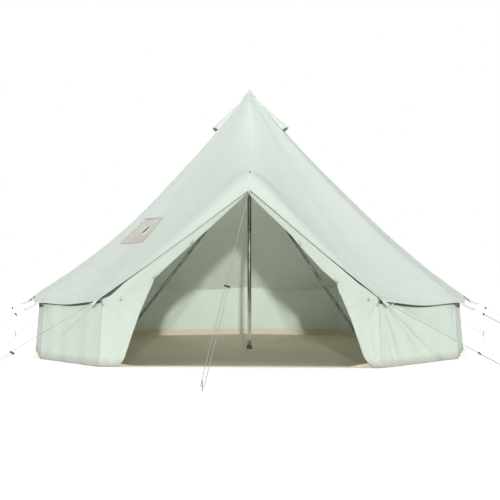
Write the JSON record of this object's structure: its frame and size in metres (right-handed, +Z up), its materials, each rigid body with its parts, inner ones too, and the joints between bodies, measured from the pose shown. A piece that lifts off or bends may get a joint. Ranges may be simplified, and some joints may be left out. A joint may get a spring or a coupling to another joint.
{
  "type": "canvas bell tent",
  "caption": "Round canvas bell tent on a centre pole, with low walls, a front doorway on an A-frame, vent hoods, a stove jack and guy lines on pegs.",
  "frame": {"origin": "on the ground under the middle of the canvas's outline; the centre pole stands 0.180 m in front of it", "axes": "+Z up, the doorway faces -Y, +X to the right of someone who faces the doorway from outside"},
  "size_m": [7.4704, 7.4313, 3.0633],
  "materials": {
    "roof_canvas": "proofed cotton canvas, matt",
    "wall_canvas": "proofed cotton canvas, matt",
    "trim_canvas": "doubled canvas and webbing",
    "heat_panel": "coated glass cloth",
    "groundsheet": "woven groundsheet, low sheen",
    "pole_steel": "galvanised tube",
    "frame_steel": "galvanised tube",
    "dark_plastic": "moulded",
    "slider": "moulded bar with two holes",
    "guy_rope": "laid cord",
    "peg_steel": "galvanised rod"
  },
  "bodies": {
    "tent": {"roof_front_left": "roof_canvas", "roof_front_right": "roof_canvas", "roof_back_left": "roof_canvas", "roof_back_right": "roof_canvas", "wall_front_left": "wall_canvas", "wall_front_right": "wall_canvas", "wall_back_left": "wall_canvas", "wall_back_right": "wall_canvas", "apex_cap": "trim_canvas", "vent_hood_left": "trim_canvas", "vent_hood_right": "trim_canvas", "stove_jack_panel": "heat_panel", "stove_jack_cover_roll": "trim_canvas", "groundsheet": "groundsheet", "centre_pole_lower": "pole_steel", "centre_pole_upper": "pole_steel", "centre_pole_spike": "pole_steel", "centre_pole_foot": "dark_plastic", "a_frame_leg_left": "frame_steel", "a_frame_leg_right": "frame_steel", "a_frame_crown": "frame_steel", "guy_rope_01": "guy_rope", "guy_peg_01": "peg_steel", "guy_rope_02": "guy_rope", "guy_peg_02": "peg_steel", "guy_rope_03": "guy_rope", "guy_peg_03": "peg_steel", "guy_rope_04": "guy_rope", "guy_peg_04": "peg_steel", "guy_rope_05": "guy_rope", "guy_peg_05": "peg_steel", "guy_rope_06": "guy_rope", "guy_peg_06": "peg_steel", "guy_rope_07": "guy_rope", "guy_peg_07": "peg_steel", "guy_rope_08": "guy_rope", "guy_peg_08": "peg_steel", "guy_rope_09": "guy_rope", "guy_peg_09": "peg_steel", "guy_rope_10": "guy_rope", "guy_peg_10": "peg_steel", "guy_rope_11": "guy_rope", "guy_peg_11": "peg_steel", "guy_rope_12": "guy_rope", "guy_peg_12": "peg_steel"},
    "guy_slider_01": {"guy_slider_01": "slider"},
    "guy_slider_02": {"guy_slider_02": "slider"},
    "guy_slider_03": {"guy_slider_03": "slider"},
    "guy_slider_04": {"guy_slider_04": "slider"},
    "guy_slider_05": {"guy_slider_05": "slider"},
    "guy_slider_06": {"guy_slider_06": "slider"},
    "guy_slider_07": {"guy_slider_07": "slider"},
    "guy_slider_08": {"guy_slider_08": "slider"},
    "guy_slider_09": {"guy_slider_09": "slider"},
    "guy_slider_10": {"guy_slider_10": "slider"},
    "guy_slider_11": {"guy_slider_11": "slider"},
    "guy_slider_12": {"guy_slider_12": "slider"},
    "door_leaf_left": {"door_leaf_left": "wall_canvas"},
    "door_leaf_right": {"door_leaf_right": "wall_canvas"}
  },
  "joints": [
    {"name": "guy_slide_01", "type": "slide", "parent": "tent", "child": "guy_slider_01", "axis": [-0.1588, -0.7144, -0.6815], "range_m": [-0.08, 0.3]},
    {"name": "guy_slide_02", "type": "slide", "parent": "tent", "child": "guy_slider_02", "axis": [0.6743, -0.6315, -0.3829], "range_m": [-0.08, 0.3]},
    {"name": "guy_slide_03", "type": "slide", "parent": "tent", "child": "guy_slider_03", "axis": [0.7837, -0.4373, -0.4411], "range_m": [-0.08, 0.3]},
    {"name": "guy_slide_04", "type": "slide", "parent": "tent", "child": "guy_slider_04", "axis": [0.8974, 0.0069, -0.4411], "range_m": [-0.08, 0.3]},
    {"name": "guy_slide_05", "type": "slide", "parent": "tent", "child": "guy_slider_05", "axis": [0.7769, 0.4492, -0.4411], "range_m": [-0.08, 0.3]},
    {"name": "guy_slide_06", "type": "slide", "parent": "tent", "child": "guy_slider_06", "axis": [0.4273, 0.7224, -0.5437], "range_m": [-0.08, 0.3]},
    {"name": "guy_slide_07", "type": "slide", "parent": "tent", "child": "guy_slider_07", "axis": [0.0147, 0.8392, -0.5437], "range_m": [-0.08, 0.3]},
    {"name": "guy_slide_08", "type": "slide", "parent": "tent", "child": "guy_slider_08", "axis": [-0.4017, 0.7369, -0.5437], "range_m": [-0.08, 0.3]},
    {"name": "guy_slide_09", "type": "slide", "parent": "tent", "child": "guy_slider_09", "axis": [-0.7647, 0.4698, -0.4411], "range_m": [-0.08, 0.3]},
    {"name": "guy_slide_10", "type": "slide", "parent": "tent", "child": "guy_slider_10", "axis": [-0.8969, 0.0307, -0.4411], "range_m": [-0.08, 0.3]},
    {"name": "guy_slide_11", "type": "slide", "parent": "tent", "child": "guy_slider_11", "axis": [-0.7951, -0.4163, -0.4411], "range_m": [-0.08, 0.3]},
    {"name": "guy_slide_12", "type": "slide", "parent": "tent", "child": "guy_slider_12", "axis": [-0.6025, -0.6934, -0.3953], "range_m": [-0.08, 0.3]},
    {"name": "door_swing_left", "type": "hinge", "parent": "tent", "child": "door_leaf_left", "pos_m": [-1.4577, -2.18604, 0.7078], "axis": [-0.791, 0.0436, -0.6103], "range_deg": [0, 25]},
    {"name": "door_swing_right", "type": "hinge", "parent": "tent", "child": "door_leaf_right", "pos_m": [1.2624, -2.31424, 0.7078], "axis": [-0.7464, 0.0283, 0.6649], "range_deg": [0, 25]}
  ]
}
